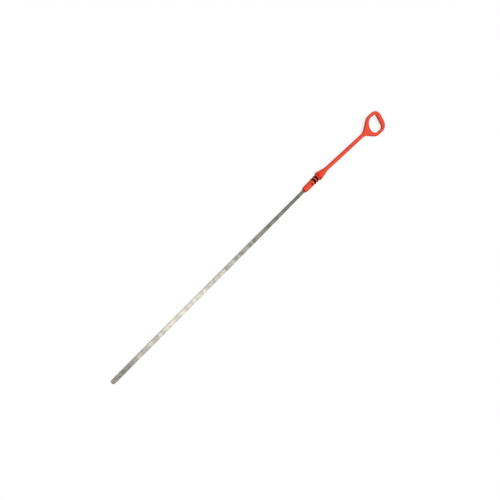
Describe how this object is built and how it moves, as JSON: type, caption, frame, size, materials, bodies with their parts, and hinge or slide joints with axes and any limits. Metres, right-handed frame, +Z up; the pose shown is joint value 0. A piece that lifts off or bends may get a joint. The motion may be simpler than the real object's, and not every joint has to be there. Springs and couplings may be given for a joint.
{
  "type": "engine oil dipstick",
  "caption": "Engine oil dipstick: moulded ring-pull handle with stem, conical flange and plug nose, rubber O-rings, and a long flat steel blade with a round tip and level holes.",
  "frame": {"origin": "centre of the bounding box on the floor that the dipstick rests on", "axes": "+X from the blade tip to the ring pull, along the plug axis; +Y across the ring; +Z up, out of the ring's face. The plug axis is tilted 0.82 degrees about Y because the rim of the flange and the blade tip rest on the floor, and the stem leans 2.1 degrees from it towards -Y"},
  "size_m": [0.544, 0.0334, 0.0123],
  "materials": {
    "handle_plastic": "red-orange moulded plastic with a low sheen",
    "seal_rubber": "smooth black rubber",
    "blade_steel": "rolled bright steel strip"
  },
  "bodies": {
    "root": {"handle": "handle_plastic", "lower_o_ring": "seal_rubber", "upper_o_ring": "seal_rubber", "blade": "blade_steel"}
  },
  "joints": []
}
